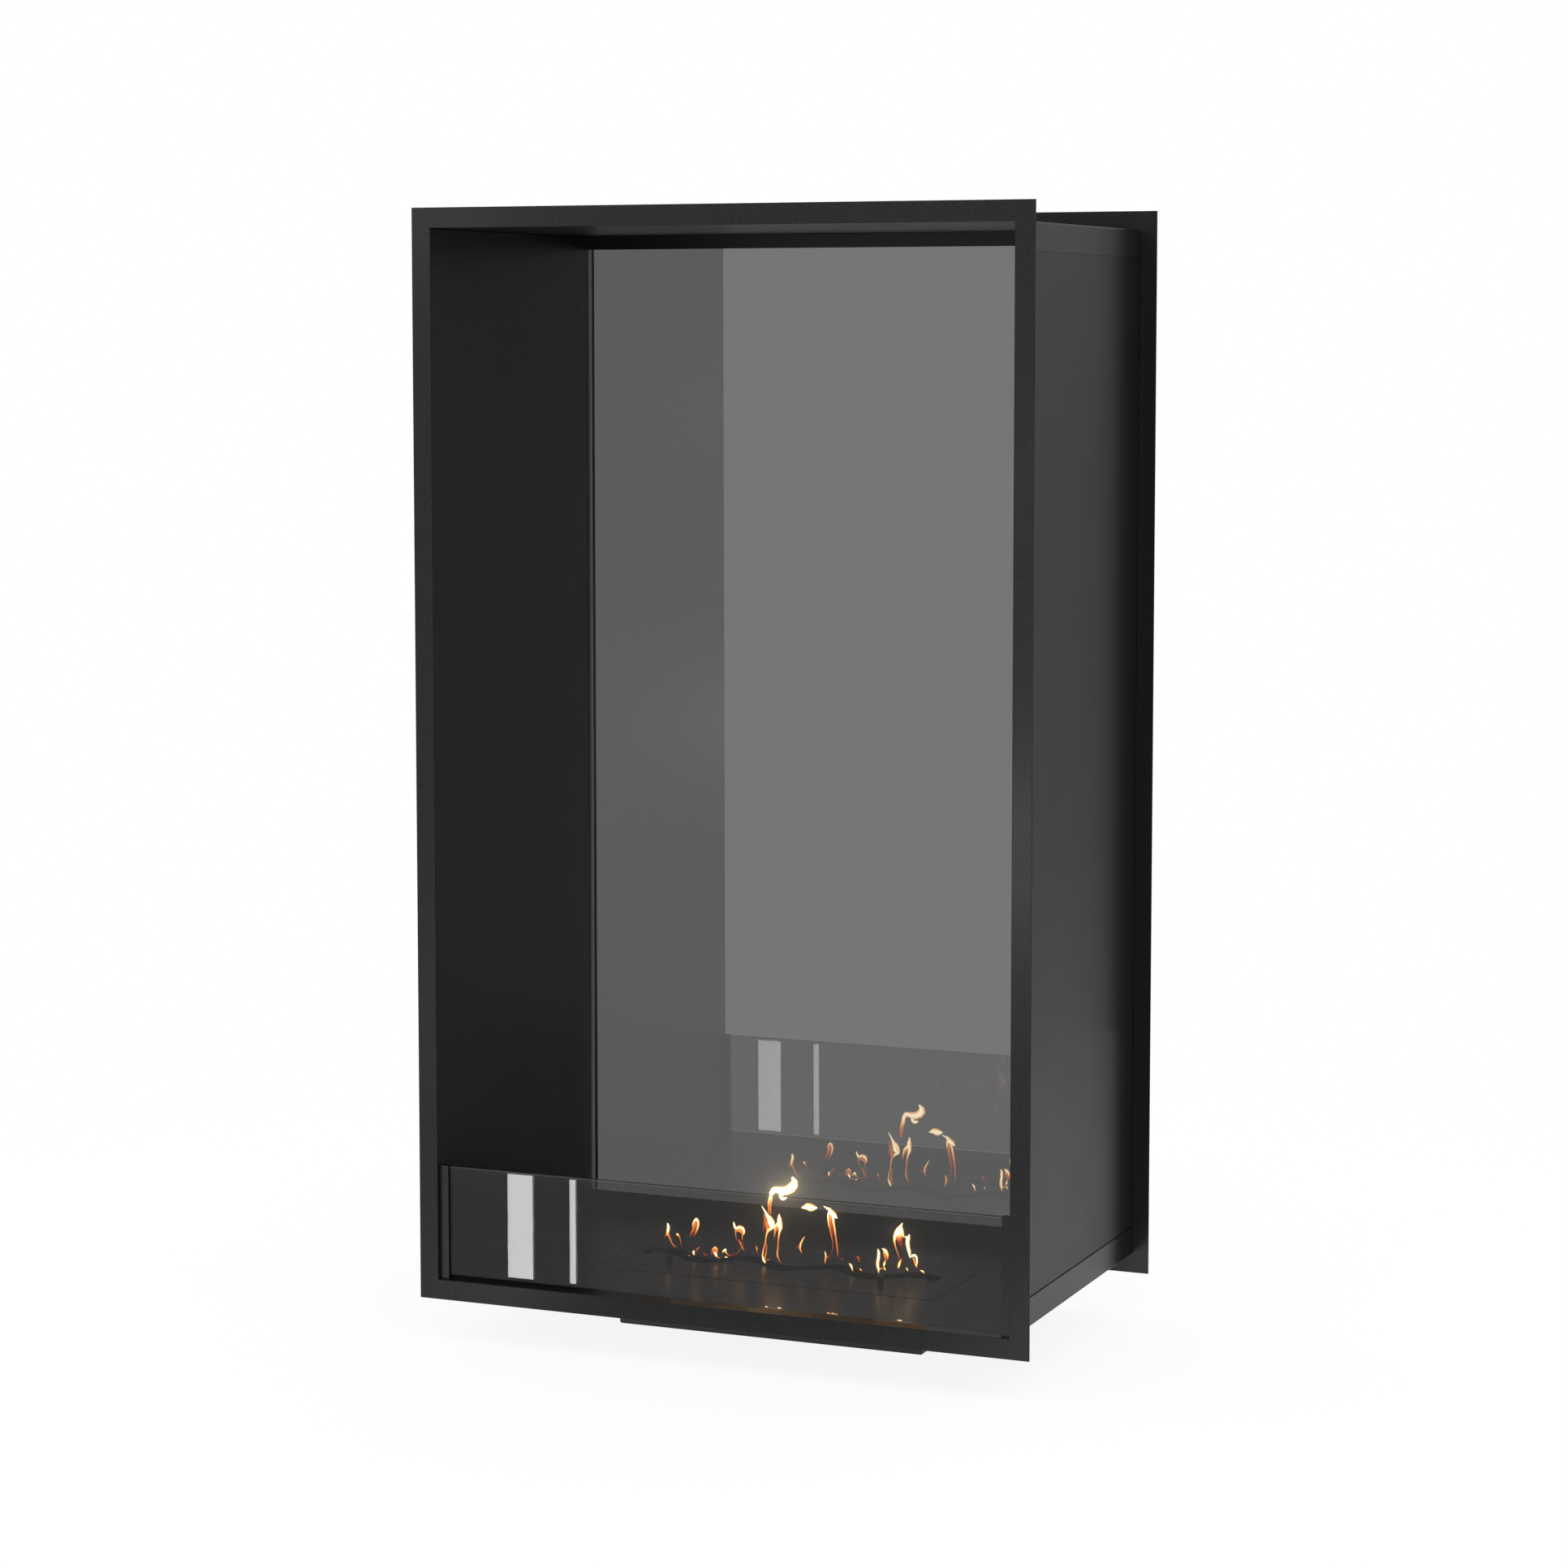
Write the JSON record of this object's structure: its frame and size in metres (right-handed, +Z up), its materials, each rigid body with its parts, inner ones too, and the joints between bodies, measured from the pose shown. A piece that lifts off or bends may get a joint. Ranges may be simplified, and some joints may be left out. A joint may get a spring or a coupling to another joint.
{
  "type": "bioethanol fireplace insert",
  "caption": "Tall see-through bioethanol fireplace insert: flanged black steel case, grey rear glass, low guard glass and a burner with a wavy slot and sliding cover.",
  "frame": {"origin": "middle of the underside of the burner housing, the lowest face of the insert", "axes": "+Z up, +X to the right seen from the front, +Y from the front opening to the rear pane"},
  "size_m": [0.772, 0.45, 1.351],
  "materials": {
    "black_coating": "matt black powder coat with a fine texture",
    "knob_black": "satin black turned steel",
    "heated_steel": "dull black heat resistant paint",
    "stainless": "mill finish, slightly heat tinted",
    "black_zinc": "black zinc plated",
    "grey_glass": "grey tinted toughened glass, polished",
    "light_grey_glass": "light grey tinted toughened glass with ground edges",
    "seal": "matt heat resistant silicone",
    "ceramic_fibre": "soft white fibre"
  },
  "bodies": {
    "case": {"front_frame": "black_coating", "rear_frame": "black_coating", "base_tray": "black_coating", "top_cap": "black_coating", "right_liner": "black_coating", "left_liner": "black_coating", "right_skin": "black_coating", "left_skin": "black_coating", "rear_bottom_lip": "black_coating", "rear_top_lip": "black_coating", "rear_bottom_bead": "black_coating", "rear_top_bead": "black_coating", "bead_screws": "black_zinc", "rear_glass": "grey_glass", "rear_glass_gaskets": "seal", "rear_glass_blocks": "seal", "right_glass_channel": "black_coating", "left_glass_channel": "black_coating", "channel_rivets": "black_zinc", "guard_glass_pads": "seal", "burner_support_ring": "black_coating", "burner_housing": "black_coating", "housing_screws": "black_zinc"},
    "guard": {"guard_glass": "light_grey_glass"},
    "burner": {"burner_plate": "black_coating", "bed_plate": "heated_steel", "fuel_tank": "stainless", "ceramic_wool": "ceramic_fibre", "wool_screen": "stainless"},
    "cover": {"slider_plate": "black_coating", "left_knob": "knob_black", "right_knob": "knob_black", "knob_screws": "black_zinc"}
  },
  "joints": [
    {"name": "guard_lift", "type": "slide", "parent": "case", "child": "guard", "axis": [0, 0, 1], "range_m": [0, 0.15]},
    {"name": "burner_lift", "type": "slide", "parent": "case", "child": "burner", "axis": [0, 0, 1], "range_m": [0, 0.08]},
    {"name": "cover_slide", "type": "slide", "parent": "burner", "child": "cover", "axis": [0, 1, 0], "range_m": [0, 0.0273]}
  ]
}
